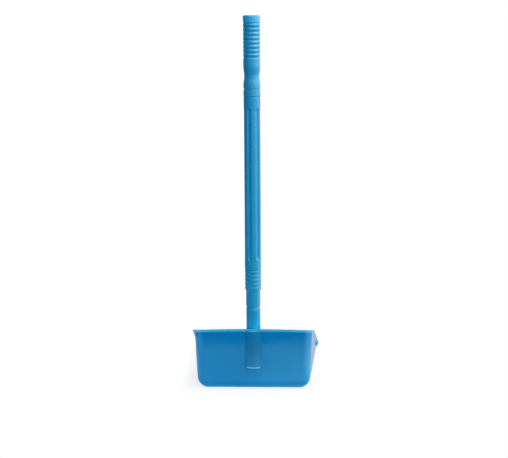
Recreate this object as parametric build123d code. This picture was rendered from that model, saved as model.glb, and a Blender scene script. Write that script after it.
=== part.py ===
from build123d import *
import math
import os

# Long-handled dustpan. Sizes in millimetres, angles in degrees.
# Z is up from the ground, the mouth of the pan opens towards +Y, X = 0 is the middle of the pan.

# Pan walls and floor
pan_depth = 281.0
rim_height = 134.4
rim_crown = 2.5
rim_level = 7.0  # length of the level part of the rim behind the sloping part
rim_bend = 40.0  # radius of the bend between the level and the sloping rim
mouth_height = 17.0
floor_half_width = 116.0
wall = 2.4
wall_draft = 2.2
side_flare = 4.8
back_round = 19.0
floor_round_back = 24.0
floor_round_front = 5.0

# Lip along the rim, and its ends that run down both sides of the mouth
rim_overhang = 4.0
rim_thickness = 1.3
rim_cove = 3.2
ear_thickness = 2.0
mouth_corner = 3.0

# Front edge of the floor
lip_edge = 0.9
lip_run = 16.0

# Socket for the pole: a curved boss outside the back wall and a round cup inside it
socket_wall = 2.0
socket_foot = 48.4
socket_floor = 2.5
cup_drop = 10.0
boss_half_width = 15.4
boss_front_radius = 34.0
boss_edge_round = 3.0
boss_foot_height = 4.0
boss_foot_depth = 2.4
gusset_height = 24.0
gusset_tip = 3.0

# Lower tube, with a neck that goes up into the ferrule
tube_radius = 14.4
tube_wall = 2.15
tube_shoulder = 8.0
end_bevel = 0.8
joint_height = 179.7
joint_radius = 13.0
neck_radius = 11.5
neck_length = 44.0
neck_wall = 2.0

# Ferrule: collar and rings, with a spigot that goes up into the pole tube
collar_foot_radius = 14.75
collar_foot_round = 2.2
collar_top_radius = 14.45
ferrule_crest = 16.5
ferrule_valley = 15.8
ferrule_pitch = 8.55
ferrule_rings = 5
ferrule_top = 257.9

# Pole tube: thinnest just under its head, fluted between plain ends
pole_foot_radius = 16.65
pole_neck_radius = 16.25
pole_head_radius = 16.7
pole_head_taper = 27.0
pole_bore_radius = 13.0
pole_top = 607.0
spigot_length = 34.0
flute_count = 6
flute_turn = 9.0
flute_radius = 7.0
flute_depth = 2.3
flute_low = 278.6
flute_high = 585.7

# Grip, from the band at its foot to the rings
grip_radius = 16.65
grip_bore_radius = 11.2
grip_groove_low = 619.8
grip_groove_width = 4.0
grip_groove_depth = 1.35
waist_low = 628.5
waist_middle = 646.5
waist_high = 668.0
waist_depth = 1.65
grip_valley = 15.5
grip_pitch = 8.14
grip_rings = 8
grip_top = 748.6

# Cap on top of the grip, a little wider towards its top
cap_foot_radius = 16.6
cap_radius = 16.85
cap_height = 14.6
cap_top_round = 3.0
cap_wall = 2.5
plug_length = 14.0
plug_wall = 2.0

# Rounding where two pieces of the pole meet
seam_radius = 15.1
seam_round = 2.0

# Clearances, each on the radius
slide_clearance = 0.08
press_clearance = 0.05
lip_clearance = 0.4

draft_slope = math.tan(math.radians(wall_draft))
flare_slope = math.tan(math.radians(side_flare))
front_y = pan_depth / 2
rim_back_y = -pan_depth / 2
wall_back_y = rim_back_y + rim_overhang
floor_back_y = wall_back_y + rim_height * draft_slope
overshoot = 40.0  # length by which cutting solids pass the pan
touch_limit = 0.01  # distance below which an edge counts as lying on a face
upward = (Align.CENTER, Align.CENTER, Align.MIN)

socket_bore = tube_radius + slide_clearance
socket_radius = socket_bore + socket_wall
pole_y = rim_back_y + lip_clearance + socket_radius
pole_axis = Location((0, pole_y, 0))
seat_height = socket_foot + socket_floor
spigot_radius = pole_bore_radius - press_clearance
ferrule_bore = neck_radius + slide_clearance


def half_width_at(y):
    """Outside half width of the pan on the ground at a distance along Y."""
    return floor_half_width + (y - floor_back_y) * flare_slope


def tub(grow, base):
    """Solid inside the pan's drafted walls, moved outwards by grow, its flat bottom at height base."""
    top = rim_height + overshoot
    near_y = floor_back_y - grow
    far_y = front_y + overshoot
    lean = math.radians(wall_draft)
    near_plane = Plane((0, near_y, 0), x_dir=(1, 0, 0), z_dir=(0, -math.cos(lean), -math.sin(lean)))
    far_plane = Plane((0, far_y, 0), x_dir=(1, 0, 0), z_dir=(0, -1, 0))
    sections = []
    near_end = (near_plane, near_y, floor_round_back)
    far_end = (far_plane, far_y, floor_round_front)
    for plane, y, floor_round in near_end, far_end:
        low = half_width_at(y) + grow + base * draft_slope
        high = half_width_at(y) + grow + top * draft_slope
        outline = Polygon((-low, base), (low, base), (high, top), (-high, top), align=None)
        outline = fillet(outline.vertices().sort_by(Axis.Y)[:2], floor_round + grow)
        sections.append(plane * outline)
    body = loft(sections, ruled=True)
    back = body.faces().sort_by(Axis.Y)[0]
    return fillet(back.edges().sort_by(Axis.Z)[:-1], back_round + grow)


def pan_hollow():
    """Space inside the walls and above the floor."""
    return tub(-wall / math.cos(math.radians(wall_draft)), wall)


def ahead_of(y):
    """Large block on the mouth's side of a distance along Y."""
    return Pos(0, y + pan_depth, 0) * Box(4 * pan_depth, 2 * pan_depth, 4 * pan_depth)


def crowned_bar(top, along):
    """Long bar with a crowned top face at a height above the back edge of the rim, running in a direction."""
    reach = half_width_at(floor_back_y) + rim_height * draft_slope
    radius = (reach**2 + rim_crown**2) / (2 * rim_crown)
    disc = Pos(0, top - radius) * Circle(radius)
    strip = Pos(0, top - pan_depth) * Rectangle(2 * pan_depth, 2 * pan_depth + overshoot)
    section = Plane(origin=(0, rim_back_y, 0), x_dir=(1, 0, 0), z_dir=(0, -1, 0)) * (disc & strip)
    return extrude(section, amount=2 * pan_depth, dir=along) + extrude(section, amount=overshoot, dir=-along)


def rim_block(inset):
    """Long block under the crowned rim, level at the back and then sloping down, its top lowered by inset."""
    slope = math.atan2(rim_height - mouth_height, pan_depth - rim_level)
    slope_top = rim_height + rim_level * math.tan(slope) - inset / math.cos(slope)
    level = crowned_bar(rim_height - inset, Vector(0, 1, 0))
    block = level & crowned_bar(slope_top, Vector(0, math.cos(slope), -math.sin(slope)))
    bend_middle = Vertex(0, rim_back_y + rim_level, rim_height - inset)
    crease = block.edges().sort_by_distance(bend_middle)[0]
    return fillet(crease, rim_bend - inset)


def touches(edge, faces):
    """True where the middle of an edge lies on one of the faces."""
    middle = Vertex(*(edge @ 0.5))
    return min(face.distance_to(middle) for face in faces) < touch_limit


def make_shell():
    """Walls and floor, with a lip round the back, down the sloping sides and down both ends of the mouth."""
    spare_y = front_y + mouth_corner
    outer = tub(0, 0)
    flange = tub(rim_overhang, 0)
    kept = rim_block(0)
    below_lip = rim_block(rim_thickness)
    body = ((outer & kept) + ((flange & kept) - below_lip)) - ahead_of(spare_y)
    on_wall = [edge for edge in body.edges() if (edge @ 0.5).Y < front_y and touches(edge, outer.faces())]
    body = fillet([edge for edge in on_wall if touches(edge, below_lip.faces())], rim_cove)
    ears = flange & kept & ahead_of(front_y - ear_thickness)
    body = (body + ears) - ahead_of(front_y) - pan_hollow()
    mouth_face = body.faces().filter_by(Axis.Y).sort_by(Axis.Y)[-1]
    corners = [edge for edge in mouth_face.edges() if touches(edge, kept.faces())]
    return fillet(corners, mouth_corner)


def lip_cut():
    """Wedge that thins the floor towards its front edge: the hollow, tipped down at the bevel's start."""
    tip = -math.degrees(math.atan2(wall - lip_edge, lip_run))
    hinge = Location((0, front_y - lip_run, wall))
    tipped = (hinge * Rot(tip, 0, 0) * hinge.inverse()) * pan_hollow()
    return tipped & ahead_of(front_y - lip_run)


def make_boss():
    """Shallow curved boss on the outside of the back wall, beveled at its foot."""
    front = pole_y - socket_radius
    sag = boss_front_radius - math.sqrt(boss_front_radius**2 - boss_half_width**2)
    sides = Polyline(
        (-boss_half_width, front + sag),
        (-boss_half_width, pole_y),
        (boss_half_width, pole_y),
        (boss_half_width, front + sag),
    )
    nose = ThreePointArc((boss_half_width, front + sag), (0, front), (-boss_half_width, front + sag))
    outline = make_face(sides + nose)
    outline = fillet(outline.vertices().sort_by(Axis.Y)[:2], boss_edge_round)
    boss = Pos(0, 0, socket_foot) * extrude(outline, amount=rim_height)
    foot = boss.faces().sort_by(Axis.Z)[0]
    boss = chamfer(foot.edges().sort_by(Axis.Y)[:-1], boss_foot_depth, boss_foot_height, reference=foot)
    return (boss & rim_block(0)) - pan_hollow()


def make_cup():
    """Round cup inside the back wall, tapering into the wall below its floor."""
    cup_height = rim_height - cup_drop - socket_foot
    cup = Pos(0, pole_y, socket_foot) * Cylinder(socket_radius, cup_height, align=upward)
    gusset_low = socket_foot - gusset_height
    gusset = Pos(0, pole_y, gusset_low) * Cone(gusset_tip, socket_radius, gusset_height, align=upward)
    return (cup + gusset) & pan_hollow()


def make_pan():
    """Whole pan with the bore of its socket."""
    bore = Pos(0, pole_y, seat_height) * Cylinder(socket_bore, rim_height, align=upward)
    return make_shell() - lip_cut() + make_boss() + make_cup() - bore


def turned(edges):
    """Solid of revolution about the pole's axis from profile edges given as (radius, height)."""
    return pole_axis * revolve(Plane.XZ * make_face(edges), axis=Axis.Z)


def ring_row(low, count, pitch, valley, crest):
    """Row of rounded rings as arcs from valley to valley, going up from height low."""
    arcs = Curve()
    for index in range(count):
        foot = low + index * pitch
        arcs += ThreePointArc((valley, foot), (crest, foot + pitch / 2), (valley, foot + pitch))
    return arcs


def upright_bend(low, high):
    """Smooth S-shaped curve between two profile points, upright at both ends."""
    middle = (low[1] + high[1]) / 2
    return Bezier(low, (low[0], middle), (high[0], middle), high)


def make_lower_tube():
    """Plain tube that stands in the socket, with a rounded shoulder and a neck above it."""
    bore = tube_radius - tube_wall
    neck_bore = neck_radius - neck_wall
    neck_top = joint_height + neck_length
    shoulder_low = joint_height - tube_shoulder
    outside = Polyline(
        (bore, seat_height),
        (tube_radius - end_bevel, seat_height),
        (tube_radius, seat_height + end_bevel),
        (tube_radius, shoulder_low),
    )
    shoulder = TangentArc((tube_radius, shoulder_low), (joint_radius, joint_height), tangent=(0, 1))
    rest = Polyline(
        (joint_radius, joint_height),
        (neck_radius, joint_height),
        (neck_radius, neck_top - end_bevel),
        (neck_radius - end_bevel, neck_top),
        (neck_bore, neck_top),
        (neck_bore, joint_height),
        (bore, shoulder_low),
        (bore, seat_height),
    )
    return turned(outside + shoulder + rest)


def make_ferrule():
    """Collar that stands on the lower tube, the rings above it, and the spigot for the pole tube."""
    ring_low = ferrule_top - ferrule_rings * ferrule_pitch
    collar_low = joint_height + collar_foot_round
    spigot_top = ferrule_top + spigot_length
    foot = TangentArc((collar_foot_radius, collar_low), (joint_radius, joint_height), tangent=(0, -1))
    collar = Polyline(
        (collar_foot_radius, collar_low),
        (collar_top_radius, ring_low),
        (ferrule_valley, ring_low),
    )
    rings = ring_row(ring_low, ferrule_rings, ferrule_pitch, ferrule_valley, ferrule_crest)
    rest = Polyline(
        (ferrule_valley, ferrule_top),
        (spigot_radius, ferrule_top),
        (spigot_radius, spigot_top - end_bevel),
        (spigot_radius - end_bevel, spigot_top),
        (ferrule_bore, spigot_top),
        (ferrule_bore, joint_height),
        (joint_radius, joint_height),
    )
    return turned(foot + collar + rings + rest)


def flute():
    """Cutter for one flute: a rod with ball ends, sunk into the pole tube by the flute's depth."""
    ball_reach = math.sqrt(flute_radius**2 - (flute_radius - flute_depth) ** 2)
    low = flute_low + ball_reach
    high = flute_high - ball_reach
    rod = Pos(0, 0, (low + high) / 2) * Cylinder(flute_radius, high - low)
    return rod + Pos(0, 0, low) * Sphere(flute_radius) + Pos(0, 0, high) * Sphere(flute_radius)


def make_pole_tube():
    """Fluted tube with plain, rounded ends."""
    foot_low = ferrule_top + seam_round
    head_high = pole_top - seam_round
    foot = TangentArc((pole_foot_radius, foot_low), (seam_radius, ferrule_top), tangent=(0, -1))
    side = Polyline(
        (pole_foot_radius, foot_low),
        (pole_neck_radius, pole_top - pole_head_taper),
        (pole_head_radius, head_high),
    )
    head = TangentArc((pole_head_radius, head_high), (seam_radius, pole_top), tangent=(0, 1))
    rest = Polyline(
        (seam_radius, pole_top),
        (pole_bore_radius, pole_top),
        (pole_bore_radius, ferrule_top),
        (seam_radius, ferrule_top),
    )
    tube = turned(foot + side + head + rest)
    centre_radius = pole_neck_radius - flute_depth + flute_radius
    flutes = PolarLocations(centre_radius, flute_count, start_angle=flute_turn)
    for place in flutes:
        tube -= pole_axis * place * flute()
    return tube


def make_grip():
    """Grip with a spigot below, then band, groove, shoulder, waist and rings."""
    spigot_low = pole_top - spigot_length
    band_low = pole_top + seam_round
    groove_high = grip_groove_low + grip_groove_width
    rings_low = grip_top - grip_rings * grip_pitch
    body_high = rings_low - 2 * seam_round
    spigot = Polyline(
        (grip_bore_radius, spigot_low),
        (spigot_radius - end_bevel, spigot_low),
        (spigot_radius, spigot_low + end_bevel),
        (spigot_radius, pole_top),
        (seam_radius, pole_top),
    )
    foot = TangentArc((grip_radius, band_low), (seam_radius, pole_top), tangent=(0, -1))
    band = Line((grip_radius, band_low), (grip_radius, grip_groove_low))
    groove = ThreePointArc(
        (grip_radius, grip_groove_low),
        (grip_radius - grip_groove_depth, (grip_groove_low + groove_high) / 2),
        (grip_radius, groove_high),
    )
    shoulder = Line((grip_radius, groove_high), (grip_radius, waist_low))
    narrow = (grip_radius - waist_depth, waist_middle)
    waist = upright_bend((grip_radius, waist_low), narrow) + upright_bend(narrow, (grip_radius, waist_high))
    upper = Line((grip_radius, waist_high), (grip_radius, body_high))
    rounding = TangentArc((grip_radius, body_high), (grip_valley, rings_low - seam_round / 2), tangent=(0, 1))
    rings = ring_row(rings_low, grip_rings, grip_pitch, grip_valley, grip_radius)
    rest = Polyline(
        (grip_valley, grip_top),
        (grip_bore_radius, grip_top),
        (grip_bore_radius, spigot_low),
    )
    gap = Line((grip_valley, rings_low - seam_round / 2), (grip_valley, rings_low))
    return turned(spigot + foot + band + groove + shoulder + waist + upper + rounding + gap + rings + rest)


def make_cap():
    """Cap with a rounded top edge and a hollow plug that fills the top of the grip."""
    plug_radius = grip_bore_radius - press_clearance
    plug_bore = plug_radius - plug_wall
    plug_low = grip_top - plug_length
    top = grip_top + cap_height
    foot_low = grip_top + seam_round
    round_low = top - cap_top_round
    plug = Polyline(
        (plug_bore, plug_low),
        (plug_radius - end_bevel, plug_low),
        (plug_radius, plug_low + end_bevel),
        (plug_radius, grip_top),
        (seam_radius, grip_top),
    )
    foot = TangentArc((cap_foot_radius, foot_low), (seam_radius, grip_top), tangent=(0, -1))
    side = Line((cap_foot_radius, foot_low), (cap_radius, round_low))
    edge = TangentArc((cap_radius, round_low), (cap_radius - cap_top_round, top), tangent=(0, 1))
    rest = Polyline(
        (cap_radius - cap_top_round, top),
        (0, top),
        (0, top - cap_wall),
        (plug_bore, top - cap_wall),
        (plug_bore, plug_low),
    )
    return turned(plug + foot + side + edge + rest)


pieces = {
    "pan": make_pan(),
    "lower_tube": make_lower_tube(),
    "pole_ferrule": make_ferrule(),
    "pole_tube": make_pole_tube(),
    "grip": make_grip(),
    "grip_cap": make_cap(),
}
os.makedirs("parts", exist_ok=True)
for name, piece in pieces.items():
    piece.label = name
    export_step(piece, f"parts/{name}.step")
    print(name, "valid" if piece.is_valid else "NOT VALID", round(piece.volume), "mm3")
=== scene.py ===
"""Long-handled dustpan in blue moulded plastic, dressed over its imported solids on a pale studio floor."""
import logging
import math
from dataclasses import dataclass
from enum import Enum

import bpy
import numpy as np
from mathutils import Matrix, Vector

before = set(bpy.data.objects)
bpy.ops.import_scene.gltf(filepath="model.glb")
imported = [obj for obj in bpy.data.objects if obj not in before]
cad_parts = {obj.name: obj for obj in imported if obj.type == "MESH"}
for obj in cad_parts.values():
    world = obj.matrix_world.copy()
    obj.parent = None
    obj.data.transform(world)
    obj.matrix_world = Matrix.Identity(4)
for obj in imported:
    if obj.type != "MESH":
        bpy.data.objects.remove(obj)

LOG = logging.getLogger("dustpan")
Socket = bpy.types.NodeSocket
Colour = tuple[float, float, float]
Point = tuple[float, float, float]
Span = tuple[float, float]
Stops = tuple[tuple[float, float], ...]
RISE: Span = (0.0, 1.0)
FALL: Span = (1.0, 0.0)
WHITE = (1.0, 1.0, 1.0, 1.0)


class Slot(Enum):
    """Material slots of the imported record."""

    PAN = "pan_plastic"
    TUBE = "tube_plastic"
    HANDLE = "handle_plastic"
    CAP = "cap_plastic"


class Graph:
    """Small helper that adds and links shader nodes in one node tree."""

    def __init__(self, tree: bpy.types.NodeTree) -> None:
        """Keeps the tree to fill and empties it."""
        self.tree = tree
        tree.nodes.clear()

    def add(self, kind: str, **settings: object) -> bpy.types.Node:
        """Adds a node.

        Args:
            kind: The node's type name.
            **settings: Properties to set on the node.

        Returns:
            The new node.
        """
        node = self.tree.nodes.new(kind)
        for key, value in settings.items():
            setattr(node, key, value)
        return node

    def link(self, source: Socket, target: Socket) -> None:
        """Joins an output socket to an input socket."""
        self.tree.links.new(source, target)

    def feed(self, socket: Socket, value: object) -> None:
        """Links an input socket to another socket, or sets it to a number or colour.

        Args:
            socket: The input socket.
            value: The socket, number or colour that it takes.
        """
        if isinstance(value, Socket):
            self.link(value, socket)
        else:
            socket.default_value = value

    def coords(self) -> Socket:
        """Adds the surface's Object coordinates and returns their socket."""
        return self.add("ShaderNodeTexCoord").outputs["Object"]

    def axes(self, coords: Socket) -> tuple[Socket, ...]:
        """Splits a vector.

        Args:
            coords: The vector's socket.

        Returns:
            Its x, y and z sockets.
        """
        node = self.add("ShaderNodeSeparateXYZ")
        self.link(coords, node.inputs["Vector"])
        return tuple(node.outputs)

    def math(self, operation: str, *values: object) -> Socket:
        """Adds a Math node.

        Args:
            operation: The node's operation.
            *values: Sockets or numbers, in the node's order.

        Returns:
            The node's output socket.
        """
        node = self.add("ShaderNodeMath", operation=operation)
        for socket, value in zip(node.inputs, values):
            self.feed(socket, value)
        return node.outputs[0]

    def product(self, first: Socket, *others: object) -> Socket:
        """Multiplies a socket by others.

        Args:
            first: The first factor.
            *others: Sockets or numbers.

        Returns:
            The product.
        """
        result = first
        for other in others:
            result = self.math("MULTIPLY", result, other)
        return result

    def length(self, first: Socket, second: Socket) -> Socket:
        """Adds the length of a flat vector: the root of the sum of its parts' squares.

        Args:
            first: One part.
            second: The other part.

        Returns:
            The length.
        """
        squares = [self.product(part, part) for part in (first, second)]
        return self.math("SQRT", self.math("ADD", *squares))

    def blend(self, factor: object, first: object, second: object) -> Socket:
        """Mixes two numbers, sockets or not.

        Args:
            factor: How far the second number goes in.
            first: The first number.
            second: The second number.

        Returns:
            The mixed number.
        """
        node = self.add("ShaderNodeMix", data_type="FLOAT")
        sockets = (node.inputs[0], node.inputs["A"], node.inputs["B"])
        for socket, value in zip(sockets, (factor, first, second)):
            self.feed(socket, value)
        return node.outputs["Result"]

    def mixed(self, factor: object, first: object, second: object, how: str = "MIX") -> Socket:
        """Mixes two colours, sockets or not.

        Args:
            factor: How far the second colour goes in.
            first: The first colour.
            second: The second colour.
            how: The mix node's way of mixing.

        Returns:
            The mixed colour.
        """
        node = self.add("ShaderNodeMix", data_type="RGBA", blend_type=how)
        self.feed(node.inputs[0], factor)
        for name, value in zip("AB", (first, second)):
            socket = next(item for item in node.inputs if item.name == name and item.type == "RGBA")
            self.feed(socket, value)
        return next(item for item in node.outputs if item.type == "RGBA")

    def shade(self, colour: Colour, level: Socket) -> Socket:
        """Scales a plain colour by a level and returns the result's socket."""
        return self.mixed(1.0, (*colour, 1.0), level, "MULTIPLY")

    def tinted(self, colour: Socket, tint: Colour, mask: Socket) -> Socket:
        """Multiplies a colour by a tint where a mask is 1 and returns the result's socket."""
        return self.mixed(mask, colour, (*tint, 1.0), "MULTIPLY")

    def noise(self, coords: Socket, scale: float, detail: float) -> Socket:
        """Adds a noise texture.

        Args:
            coords: Where the noise is read.
            scale: Features per metre.
            detail: Octaves.

        Returns:
            The noise value, around one half.
        """
        node = self.add("ShaderNodeTexNoise")
        node.inputs["Scale"].default_value = scale
        node.inputs["Detail"].default_value = detail
        self.link(coords, node.inputs["Vector"])
        return node.outputs["Fac"]

    def remap(self, value: Socket, source: Span, target: Span) -> Socket:
        """Maps a value smoothly from one range to another.

        Args:
            value: The socket to map.
            source: Range of the value.
            target: Range of the result.

        Returns:
            The mapped value.
        """
        node = self.add("ShaderNodeMapRange", interpolation_type="SMOOTHSTEP")
        self.link(value, node.inputs["Value"])
        for name, number in zip(("From Min", "From Max", "To Min", "To Max"), (*source, *target)):
            node.inputs[name].default_value = number
        return node.outputs["Result"]

    def curve(self, value: Socket, stops: Stops) -> Socket:
        """Adds a curve through stops, on a ramp whose ends 0 and 1 stand for -1 and 1.

        Args:
            value: The socket to map, from -1 to 1.
            stops: Places and results, in rising order.

        Returns:
            The curve's result.
        """
        ramp = self.add("ShaderNodeValToRGB")
        ramp.color_ramp.interpolation = "EASE"
        self.link(self.math("MULTIPLY_ADD", value, 0.5, 0.5), ramp.inputs["Fac"])
        elements = ramp.color_ramp.elements
        while len(elements) < len(stops):
            elements.new(1.0)
        for element, (place, result) in zip(elements, stops):
            element.position = (place + 1) / 2
            element.color = (result, result, result, 1.0)
        return ramp.outputs["Color"]


@dataclass(frozen=True)
class MouldedPlastic:
    """Self-coloured moulded plastic with flow marks, fine grain and a slightly uneven gloss."""

    name: str
    colour: Colour
    roughness: float
    gloss: float = 0.68
    noise_span: Span = (0.3, 0.7)
    flow: float = 0.05
    flow_scale: float = 11.0
    flow_detail: float = 3.0
    patch_gain: Span = (0.85, 1.15)
    patch_scale: float = 44.0
    patch_detail: float = 4.0
    grain_scale: float = 900.0
    grain_detail: float = 2.0
    grain_depth: float = 0.000004

    def build(self) -> bpy.types.Material:
        """Makes the material.

        Returns:
            A node material that reads Object coordinates.
        """
        material = bpy.data.materials.new(self.name)
        material.use_nodes = True
        graph = Graph(material.node_tree)
        coords = graph.coords()
        shader = graph.add("ShaderNodeBsdfPrincipled")
        level = shader.inputs["Specular IOR Level"]
        level.default_value = self.gloss
        graph.feed(level, self.shine(graph, coords))
        output = graph.add("ShaderNodeOutputMaterial")
        graph.link(shader.outputs["BSDF"], output.inputs["Surface"])
        graph.link(self.tint(graph, coords), shader.inputs["Base Color"])
        graph.link(self.dullness(graph, coords), shader.inputs["Roughness"])
        bump = graph.add("ShaderNodeBump")
        bump.inputs["Distance"].default_value = 1.0
        graph.link(self.relief(graph, coords), bump.inputs["Height"])
        graph.link(bump.outputs["Normal"], shader.inputs["Normal"])
        return material

    def tint(self, graph: Graph, coords: Socket) -> Socket:
        """Adds the colour: the plastic's own, a little darker and lighter along its flow marks.

        Args:
            graph: The material's graph.
            coords: Object coordinates.

        Returns:
            The colour.
        """
        marks = graph.noise(coords, self.flow_scale, self.flow_detail)
        flow = graph.remap(marks, self.noise_span, (1 - self.flow, 1 + self.flow))
        return graph.shade(self.colour, flow)

    def dullness(self, graph: Graph, coords: Socket) -> Socket:
        """Adds the roughness: patches a little glossier and duller than the mean.

        Args:
            graph: The material's graph.
            coords: Object coordinates.

        Returns:
            The roughness.
        """
        patches = graph.noise(coords, self.patch_scale, self.patch_detail)
        glossy, boss_shade = self.patch_gain
        return graph.remap(patches, self.noise_span, (glossy * self.roughness, boss_shade * self.roughness))

    def shine(self, graph: Graph, coords: Socket) -> object:
        """Adds the gloss level and returns it, a number or a socket."""
        return self.gloss

    def relief(self, graph: Graph, coords: Socket) -> Socket:
        """Adds the height of the surface's fine grain, in metres, and returns its socket."""
        return graph.product(graph.noise(coords, self.grain_scale, self.grain_detail), self.grain_depth)


@dataclass(frozen=True)
class PanPlastic(MouldedPlastic):
    """The pan's plastic: slightly wavy walls, painted light on the thin rim, and a dull, scuffed socket boss
    whose grey-blue is painted shade, with painted shade under it and a painted highlight on its foot.
    """

    warp_scale: float = 16.0
    warp_detail: float = 1.0
    warp_depth: float = 0.0007
    rim_height: float = 0.1344
    rim_crown: float = 0.0025
    rim_half_width: float = 0.121
    rim_level_end: float = -0.1335
    rim_slope: float = 23.2
    rim_bend: float = 0.01
    rim_band: Span = (0.0032, 0.0066)
    # Painted light: the thin rim and the mouth's edge are made lighter
    rim_painted_light: Colour = (35.0, 2.55, 1.84)
    mouth_edge: Span = (0.1365, 0.139)
    boss_half_width: float = 0.0156
    boss_back: float = -0.1345
    boss_foot: Span = (0.0484, 0.0524)
    # Painted shade: the boss is greyer and darker than the thin wall around it
    boss_painted_shade: Colour = (1.0, 0.84, 0.78)
    boss_low: Span = (0.047, 0.087)
    boss_low_share: Span = (0.3, 1.0)
    # Painted highlight: a bright line along the boss's foot
    foot_painted_light: Colour = (75.0, 2.95, 1.98)
    under_painted_shade: Colour = (0.8, 0.9, 0.91)
    under_beside: Span = (0.012, 0.02)
    under_fade: Span = (0.022, 0.042)
    under_back: float = -0.125
    boss_roughness: float = 0.28
    boss_worn: Span = (0.06, 0.125)
    boss_gloss: float = 0.2
    boss_flank: Span = (0.0105, 0.0145)
    flank_gloss: float = 0.35

    def below_rim(self, graph: Graph, coords: Socket) -> Socket:
        """Adds the depth below the rim: level at the back, then sloping to the mouth, and crowned across.

        Args:
            graph: The material's graph.
            coords: Object coordinates.

        Returns:
            The depth in metres.
        """
        x, y, z = graph.axes(coords)
        slope = math.tan(math.radians(self.rim_slope))
        fall = graph.product(graph.math("SUBTRACT", y, self.rim_level_end), slope)
        fall = graph.math("SMOOTH_MAX", fall, 0.0, self.rim_bend)
        crown = graph.product(x, x, self.rim_crown / self.rim_half_width**2)
        top = graph.math("SUBTRACT", self.rim_height, graph.math("ADD", fall, crown))
        return graph.math("SUBTRACT", top, z)

    def on_boss(self, graph: Graph, coords: Socket) -> Socket:
        """Adds a mask of the socket boss on the back wall.

        Args:
            graph: The material's graph.
            coords: Object coordinates.

        Returns:
            1 on the boss and 0 elsewhere.
        """
        x, y, z = graph.axes(coords)
        beside = graph.math("LESS_THAN", graph.math("ABSOLUTE", x), self.boss_half_width)
        behind = graph.math("LESS_THAN", y, self.boss_back)
        above = graph.math("GREATER_THAN", z, self.boss_foot[0])
        return graph.product(beside, behind, above)

    def under_boss(self, graph: Graph, coords: Socket) -> Socket:
        """Adds a mask of the back wall under the boss's foot, soft at its sides and its lower end.

        Args:
            graph: The material's graph.
            coords: Object coordinates.

        Returns:
            1 close under the foot and 0 elsewhere.
        """
        x, y, z = graph.axes(coords)
        beside = graph.remap(graph.math("ABSOLUTE", x), self.under_beside, FALL)
        above = graph.remap(z, self.under_fade, RISE)
        below = graph.math("LESS_THAN", z, self.boss_foot[0])
        behind = graph.math("LESS_THAN", y, self.under_back)
        return graph.product(beside, above, below, behind)

    def tint(self, graph: Graph, coords: Socket) -> Socket:
        """Adds the colour: flow marks, painted shade on the boss and under it, a painted highlight on its
        foot and painted light on the rim.

        Args:
            graph: The material's graph.
            coords: Object coordinates.

        Returns:
            The colour.
        """
        colour = super().tint(graph, coords)
        boss = self.on_boss(graph, coords)
        _, y, z = graph.axes(coords)
        # Painted shade on the boss, strongest towards its top
        boss_shade = graph.product(boss, graph.remap(z, self.boss_low, self.boss_low_share))
        colour = graph.tinted(colour, self.boss_painted_shade, boss_shade)
        # Painted shade on the wall just under the boss's foot
        colour = graph.tinted(colour, self.under_painted_shade, self.under_boss(graph, coords))
        # Painted highlight along the boss's foot
        foot = graph.product(boss, graph.math("LESS_THAN", z, self.boss_foot[1]))
        colour = graph.tinted(colour, self.foot_painted_light, foot)
        # Painted light on the thin rim and along the mouth's edge
        rim = graph.remap(self.below_rim(graph, coords), self.rim_band, FALL)
        mouth = graph.remap(y, self.mouth_edge, RISE)
        return graph.tinted(colour, self.rim_painted_light, graph.math("MAXIMUM", rim, mouth))

    def dullness(self, graph: Graph, coords: Socket) -> Socket:
        """Adds the roughness, higher on the scuffed boss, and returns its socket."""
        wall = super().dullness(graph, coords)
        return graph.blend(self.on_boss(graph, coords), wall, self.boss_roughness)

    def shine(self, graph: Graph, coords: Socket) -> object:
        """Adds the gloss level, lower towards the top of the boss and on its flanks.

        Args:
            graph: The material's graph.
            coords: Object coordinates.

        Returns:
            The gloss level's socket.
        """
        x, _, z = graph.axes(coords)
        flank = graph.remap(graph.math("ABSOLUTE", x), self.boss_flank, (1.0, self.flank_gloss))
        boss = graph.product(graph.remap(z, self.boss_worn, (self.gloss, self.boss_gloss)), flank)
        return graph.blend(self.on_boss(graph, coords), self.gloss, boss)

    def relief(self, graph: Graph, coords: Socket) -> Socket:
        """Adds the grain's height to the slow waves of the moulded walls and returns the sum's socket."""
        warp = graph.product(graph.noise(coords, self.warp_scale, self.warp_detail), self.warp_depth)
        return graph.math("ADD", super().relief(graph, coords), warp)


@dataclass(frozen=True)
class TubePlastic(MouldedPlastic):
    """The lower tube's plastic, with painted light that makes it a little lighter towards its foot."""

    foot: Span = (0.137, 0.165)
    # Painted light towards the tube's foot
    foot_painted_light: Colour = (0.5, 1.31, 1.32)

    def tint(self, graph: Graph, coords: Socket) -> Socket:
        """Adds the colour, flow marks and then painted light towards the foot, and returns its socket."""
        low = graph.remap(graph.axes(coords)[2], self.foot, FALL)
        return graph.tinted(super().tint(graph, coords), self.foot_painted_light, low)


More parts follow.
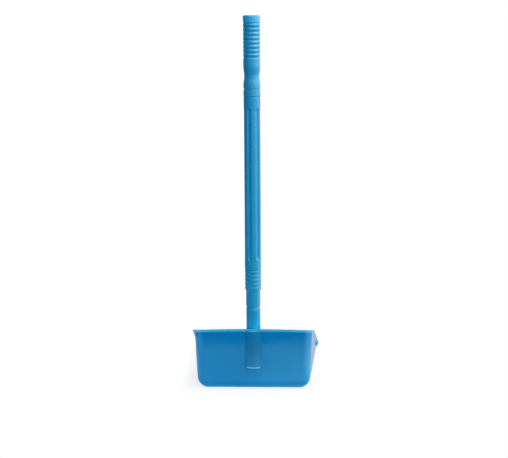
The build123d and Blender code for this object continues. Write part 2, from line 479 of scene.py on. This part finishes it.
@dataclass(frozen=True)
class HandlePlastic(MouldedPlastic):
    """The handle's plastic: painted light bounced deep in the flutes on the pole's left half, and painted
    shade on one flank of each.
    """

    axis_y: float = -0.12362
    flute_count: int = 6
    flute_turn: float = 9.0
    flute_reach: Span = (0.0148, 0.0163)
    flute_span: Span = (0.2786, 0.5857)
    # Painted light bounced deep in the flutes: a deeper, brighter blue
    flute_painted_bounce: Colour = (1.0, 1.08, 1.15)
    flank_side: Span = (-0.35, 0.35)
    # Painted shade on one flank of each flute
    flank_painted_shade: Colour = (0.2, 0.83, 0.9)

    def in_flute(self, graph: Graph, coords: Socket) -> Socket:
        """Adds a mask of the flutes on the pole's left half, by the distance from the pole's axis.

        Args:
            graph: The material's graph.
            coords: Object coordinates.

        Returns:
            1 deep in a flute and 0 elsewhere.
        """
        x, y, z = graph.axes(coords)
        radius = graph.length(x, graph.math("SUBTRACT", y, self.axis_y))
        deep = graph.remap(radius, self.flute_reach, FALL)
        left = graph.math("LESS_THAN", x, 0.0)
        above = graph.math("GREATER_THAN", z, self.flute_span[0])
        below = graph.math("LESS_THAN", z, self.flute_span[1])
        return graph.product(deep, left, above, below)

    def on_flank(self, graph: Graph, coords: Socket) -> Socket:
        """Adds a mask of the flank after a flute's bottom, by a wave of one period per flute about the axis.

        Args:
            graph: The material's graph.
            coords: Object coordinates.

        Returns:
            1 on the flank and 0 elsewhere.
        """
        x, y, _ = graph.axes(coords)
        turn = graph.math("ARCTAN2", graph.math("SUBTRACT", y, self.axis_y), x)
        start = -self.flute_count * math.radians(self.flute_turn)
        wave = graph.math("SINE", graph.math("MULTIPLY_ADD", turn, self.flute_count, start))
        return graph.product(self.in_flute(graph, coords), graph.remap(wave, self.flank_side, RISE))

    def tint(self, graph: Graph, coords: Socket) -> Socket:
        """Adds the colour, flow marks and then painted light in the flutes and painted shade on their flanks,
        and returns its socket.
        """
        colour = graph.tinted(super().tint(graph, coords), self.flute_painted_bounce, self.in_flute(graph, coords))
        return graph.tinted(colour, self.flank_painted_shade, self.on_flank(graph, coords))


def dress(node: str, material: bpy.types.Material) -> bpy.types.Object:
    """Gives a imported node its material.

    Args:
        node: The node's name.
        material: The material for all its faces.

    Returns:
        The node's object.
    """
    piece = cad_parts[node]
    piece.data.materials.clear()
    piece.data.materials.append(material)
    return piece


@dataclass(frozen=True)
class Pan:
    """The pan: walls, floor, lip and socket in one moulding."""

    plastic: PanPlastic = PanPlastic(Slot.PAN.value, (0.001, 0.155, 0.402), roughness=0.1)

    def build(self) -> list[bpy.types.Object]:
        """Dresses the pan and returns its pieces."""
        return [dress("pan", self.plastic.build())]


@dataclass(frozen=True)
class LowerTube:
    """The smooth tube between the pan's socket and the handle."""

    plastic: TubePlastic = TubePlastic(Slot.TUBE.value, (0.0015, 0.2, 0.44), roughness=0.21)

    def build(self) -> list[bpy.types.Object]:
        """Dresses the tube and returns its pieces."""
        return [dress("lower_tube", self.plastic.build())]


@dataclass(frozen=True)
class Handle:
    """The ferrule, the fluted pole, the grip and its end cap."""

    plastic: HandlePlastic = HandlePlastic(Slot.HANDLE.value, (0.003, 0.219, 0.445), roughness=0.21)
    cap_plastic: MouldedPlastic = MouldedPlastic(Slot.CAP.value, (0.01, 0.3, 0.585), roughness=0.21)

    def build(self) -> list[bpy.types.Object]:
        """Dresses the handle's nodes.

        Returns:
            The handle's pieces.
        """
        plastic = self.plastic.build()
        pieces = [dress(node, plastic) for node in ("pole_ferrule", "pole_tube", "grip")]
        return pieces + [dress("grip_cap", self.cap_plastic.build())]


@dataclass(frozen=True)
class Lamp:
    """One soft rectangular lamp that points at the object and is shown in its gloss or not."""

    name: str
    place: Point
    aim: Point
    size: Span
    power: float
    colour: Colour = (1.0, 1.0, 1.0)
    glossy: bool = True

    def build(self) -> bpy.types.Object:
        """Makes the lamp.

        Returns:
            The lamp's object.
        """
        data = bpy.data.lights.new(self.name, "AREA")
        data.shape = "RECTANGLE"
        data.size, data.size_y = self.size
        data.energy = self.power
        data.color = self.colour
        lamp = bpy.data.objects.new(self.name, data)
        bpy.context.scene.collection.objects.link(lamp)
        lamp.location = self.place
        lamp.rotation_mode = "QUATERNION"
        lamp.rotation_quaternion = (Vector(self.aim) - Vector(self.place)).to_track_quat("-Z", "Y")
        lamp.visible_camera = False
        lamp.visible_glossy = self.glossy
        return lamp


@dataclass(frozen=True)
class Studio:
    """White surroundings, a pale floor sheet that fades into them, and soft lamps."""

    # The sheet's outline, and the object's foot on it
    floor_front: float = -0.385
    floor_right_front: float = -0.65
    floor_corner: Span = (0.04, 0.34)
    floor_back: float = 1.2
    floor_left: float = -0.4
    floor_right: float = 1.2
    floor_cells: int = 80
    foot_half_size: Span = (0.12, 0.14)
    fade_reach: float = 0.05

    # The sheet as the camera sees it, and the light that it throws back
    floor_colour: float = 0.9
    shadow: float = 0.25
    floor_bounce: float = 0.73
    bounce_contact: float = 1.46

    # The sheet as gloss shows it: levels across it, its dim front edge and painted light bounced from the pan
    # near it
    gloss_across: Stops = ((-0.28, 0.34), (-0.12, 0.27), (1.0, 0.27))
    gloss_right: Stops = ((-0.03, 0.0), (0.1, 0.2), (0.14, 0.24), (0.22, 0.53), (0.3, 0.58), (0.37, 0.35),
                          (0.6, 0.5), (1.0, 0.8))
    gloss_near: Span = (-0.36, -0.16)
    gloss_near_gain: Span = (0.45, 1.25)
    gloss_contact: float = 0.32
    gloss_front_reach: float = 0.03
    gloss_front_right: Span = (0.05, 0.15)
    gloss_front_spread: float = 5.0
    gloss_pan_bounce: Colour = (1.0, 2.6, 2.3)
    gloss_tint_reach: Span = (-0.12, 0.0)
    gloss_tint_right: Span = (0.12, 0.36)
    gloss_tint_far: float = 0.4
    gloss_tint_left: float = 0.15
    gloss_tint_slant: float = 1.5

    # The room around the sheet, by the direction it is seen in
    room_level: float = 2.2
    room_across: Stops = ((-1.0, 0.02), (-0.48, 0.15), (0.0, 0.28), (0.3, 0.42), (0.6, 0.62), (1.0, 1.0))
    room_upward: Stops = ((-0.38, 0.0), (-0.26, 0.4), (-0.17, 0.28), (-0.13, 0.32), (-0.09, 0.66),
                          (-0.035, 1.0), (0.25, 1.0), (0.5, 0.88), (0.9, 0.68))

    lamps: tuple[Lamp, ...] = (
        Lamp("key_lamp", (1.02, -0.76, 1.27), (0.0, -0.12, 0.7), (1.9, 0.35), 12.2),
        Lamp("front_lamp", (-0.17, -1.31, 1.27), (0.0, -0.12, 0.7), (1.28, 0.35), 4.1),
        Lamp("top_lamp", (0.0, -0.3, 2.2), (0.0, -0.12, 0.7), (1.2, 1.2), 11.0),
        Lamp("fill_lamp", (-0.95, -0.33, 0.1), (0.0, -0.1, 0.2), (0.6, 0.4), 5.8, (0.6, 0.88, 0.98),
             glossy=False),
        Lamp("side_lamp", (0.95, -0.55, 0.15), (0.0, -0.1, 0.1), (0.6, 0.4), 3.1, (0.98, 1.0, 0.64),
             glossy=False),
    )

    def build(self) -> None:
        """Makes the surroundings, the floor and the lamps."""
        self.build_world()
        self.build_floor()
        for lamp in self.lamps:
            lamp.build()
        bpy.context.scene.view_settings.view_transform = "Standard"

    def build_world(self) -> None:
        """Makes the world: white to the camera, else a room that is dark at the left and low down."""
        world = bpy.data.worlds.new("studio")
        bpy.context.scene.world = world
        world.use_nodes = True
        world.cycles.sampling_method = "NONE"
        graph = Graph(world.node_tree)
        x, _, z = graph.axes(graph.add("ShaderNodeTexCoord").outputs["Generated"])
        across = graph.curve(x, self.room_across)
        upward = graph.curve(z, self.room_upward)
        room = graph.product(across, upward, self.room_level)
        path = graph.add("ShaderNodeLightPath")
        background = graph.add("ShaderNodeBackground")
        background.inputs["Color"].default_value = WHITE
        graph.link(graph.blend(path.outputs["Is Camera Ray"], room, 1.0), background.inputs["Strength"])
        output = graph.add("ShaderNodeOutputWorld")
        graph.link(background.outputs["Background"], output.inputs["Surface"])

    def build_floor(self) -> bpy.types.Object:
        """Makes the floor: a level grid, in equal steps across and from the bent front edge to the back.

        Returns:
            The floor's object.
        """
        count = self.floor_cells + 1
        sides = np.linspace(self.floor_left, self.floor_right, count)
        x, along = np.meshgrid(sides, np.linspace(0.0, 1.0, count))
        front = np.interp(x, self.floor_corner, (self.floor_front, self.floor_right_front))
        y = front + along * (self.floor_back - front)
        points = np.stack([x, y, np.zeros_like(x)], axis=-1).reshape(-1, 3)
        cells = np.arange(self.floor_cells)
        corner = (cells[:, None] * count + cells).reshape(-1, 1)
        quads = corner + np.array([0, 1, count + 1, count])
        mesh = bpy.data.meshes.new("floor")
        mesh.from_pydata(points.tolist(), [], quads.tolist())
        mesh.materials.append(self.floor_material())
        floor = bpy.data.objects.new("floor", mesh)
        bpy.context.scene.collection.objects.link(floor)
        return floor

    def floor_material(self) -> bpy.types.Material:
        """Makes the sheet: white to the camera with a faint shadow at the object, else a glow.

        Returns:
            The floor's material.
        """
        material = bpy.data.materials.new("pale_floor")
        material.use_nodes = True
        material.cycles.emission_sampling = "NONE"
        graph = Graph(material.node_tree)
        path = graph.add("ShaderNodeLightPath")
        glossy = path.outputs["Is Glossy Ray"]
        away = self.away_from_foot(graph)
        white = graph.remap(away, RISE, (1.0 - self.shadow, 1.0))
        seen = self.mix(graph, white, self.matt(graph, self.floor_colour), self.glow(graph, 1.0, WHITE))
        bounce = graph.remap(away, RISE, (self.bounce_contact, self.floor_bounce))
        level = graph.blend(glossy, bounce, self.gloss_level(graph))
        # Painted light: near the back wall the floor shows the pan's blue-green bounce in gloss
        near = graph.product(self.gloss_near_pan(graph), glossy)
        colour = graph.mixed(near, WHITE, (*self.gloss_pan_bounce, 1.0))
        surface = self.mix(graph, path.outputs["Is Camera Ray"], self.glow(graph, level, colour), seen)
        output = graph.add("ShaderNodeOutputMaterial")
        graph.link(surface, output.inputs["Surface"])
        return material

    def away_from_foot(self, graph: Graph) -> Socket:
        """Adds the distance outside the object's rectangular foot, over the fade's reach.

        Args:
            graph: The floor material's graph.

        Returns:
            0 under the object, rising to 1 at the end of the fade.
        """
        x, y, _ = graph.axes(graph.coords())
        half_x, half_y = self.foot_half_size
        distance = graph.length(self.beyond(graph, x, half_x), self.beyond(graph, y, half_y))
        return graph.remap(distance, (0.0, self.fade_reach), RISE)

    def gloss_level(self, graph: Graph) -> Socket:
        """Adds the floor's level in gloss: brighter at the right, dim at the back wall's foot and in front.

        Args:
            graph: The floor material's graph.

        Returns:
            The level, where 1 is white.
        """
        x, y, _ = graph.axes(graph.coords())
        near = graph.remap(y, self.gloss_near, self.gloss_near_gain)
        right = graph.product(graph.curve(x, self.gloss_right), near)
        level = graph.math("ADD", graph.curve(x, self.gloss_across), right)
        half_x, half_y = self.foot_half_size
        distance = graph.length(self.beyond(graph, x, half_x), graph.math("ADD", y, half_y))
        contact = graph.remap(distance, (0.0, self.fade_reach), (self.gloss_contact, 1.0))
        half = self.gloss_front_reach / 2
        spread = graph.remap(x, self.gloss_front_right, (1.0, self.gloss_front_spread))
        past = graph.math("DIVIDE", graph.math("SUBTRACT", y, self.floor_front + half), spread)
        edge = graph.remap(past, (-half, half), RISE)
        return graph.product(level, contact, edge)

    def gloss_near_pan(self, graph: Graph) -> Socket:
        """Adds how far the floor takes the painted light bounced from the pan in gloss: fully near the back
        wall, less to the right.

        Args:
            graph: The floor material's graph.

        Returns:
            The share of the painted bounce, from 0 to 1.
        """
        x, y, _ = graph.axes(graph.coords())
        left = graph.math("MINIMUM", graph.math("ADD", x, self.gloss_tint_left), 0.0)
        depth = graph.math("MULTIPLY_ADD", left, self.gloss_tint_slant, y)
        behind = graph.remap(depth, self.gloss_tint_reach, FALL)
        return graph.product(behind, graph.remap(x, self.gloss_tint_right, (1.0, self.gloss_tint_far)))

    @staticmethod
    def beyond(graph: Graph, place: Socket, half: float) -> Socket:
        """Adds how far a place lies outside a half size, 0 within it, and returns the socket."""
        return graph.math("MAXIMUM", graph.math("SUBTRACT", graph.math("ABSOLUTE", place), half), 0.0)

    @staticmethod
    def matt(graph: Graph, grey: float) -> Socket:
        """Adds a diffuse shader.

        Args:
            graph: The material's graph.
            grey: The shader's grey.

        Returns:
            The shader's socket.
        """
        node = graph.add("ShaderNodeBsdfDiffuse")
        node.inputs["Color"].default_value = (grey, grey, grey, 1.0)
        return node.outputs["BSDF"]

    @staticmethod
    def glow(graph: Graph, strength: object, colour: object) -> Socket:
        """Adds an emission shader.

        Args:
            graph: The material's graph.
            strength: A number or a socket.
            colour: A colour or a socket.

        Returns:
            The shader's socket.
        """
        node = graph.add("ShaderNodeEmission")
        graph.feed(node.inputs["Color"], colour)
        graph.feed(node.inputs["Strength"], strength)
        return node.outputs["Emission"]

    @staticmethod
    def mix(graph: Graph, factor: Socket, first: Socket, second: Socket) -> Socket:
        """Mixes two shaders.

        Args:
            graph: The material's graph.
            factor: How far the second shader goes in.
            first: The first shader.
            second: The second shader.

        Returns:
            The mix's socket.
        """
        node = graph.add("ShaderNodeMixShader")
        for socket, value in zip(node.inputs, (factor, first, second)):
            graph.link(value, socket)
        return node.outputs["Shader"]


@dataclass(frozen=True)
class PhotoCamera:
    """Camera at the photo's viewing angle: behind the back wall and above it, a little to the right."""

    image_width: int = 508
    focal_pixels: float = 960.0
    sensor: float = 36.0
    axis_y: float = -0.12387
    distance: float = 1.898
    height: float = 0.7447
    azimuth: float = 2.0
    pitch: float = 12.0
    yaw: float = -0.073
    roll: float = -0.36

    def build(self) -> bpy.types.Object:
        """Makes the camera and makes it the scene's.

        Returns:
            The camera's object.
        """
        data = bpy.data.cameras.new("camera")
        data.sensor_width = self.sensor
        data.lens = self.sensor * self.focal_pixels / self.image_width
        camera = bpy.data.objects.new("camera", data)
        bpy.context.scene.collection.objects.link(camera)
        around = math.radians(self.azimuth)
        back = self.axis_y - self.distance * math.cos(around)
        place = (self.distance * math.sin(around), back, self.height)
        heading = Matrix.Rotation(math.radians(self.azimuth + self.yaw), 4, "Z")
        tilt = Matrix.Rotation(math.radians(90 - self.pitch), 4, "X")
        roll = Matrix.Rotation(math.radians(self.roll), 4, "Z")
        camera.matrix_world = Matrix.Translation(place) @ heading @ tilt @ roll
        bpy.context.scene.camera = camera
        return camera


def main() -> None:
    """Builds the camera, the studio and the dustpan's sub-assemblies in order."""
    logging.basicConfig(level=logging.INFO, format="%(name)s: %(message)s")
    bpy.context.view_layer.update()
    PhotoCamera().build()
    Studio().build()
    for assembly in (Pan(), LowerTube(), Handle()):
        for piece in assembly.build():
            LOG.info("%s: %s, %d faces", type(assembly).__name__, piece.name, len(piece.data.polygons))


if __name__ == "__main__":
    main()
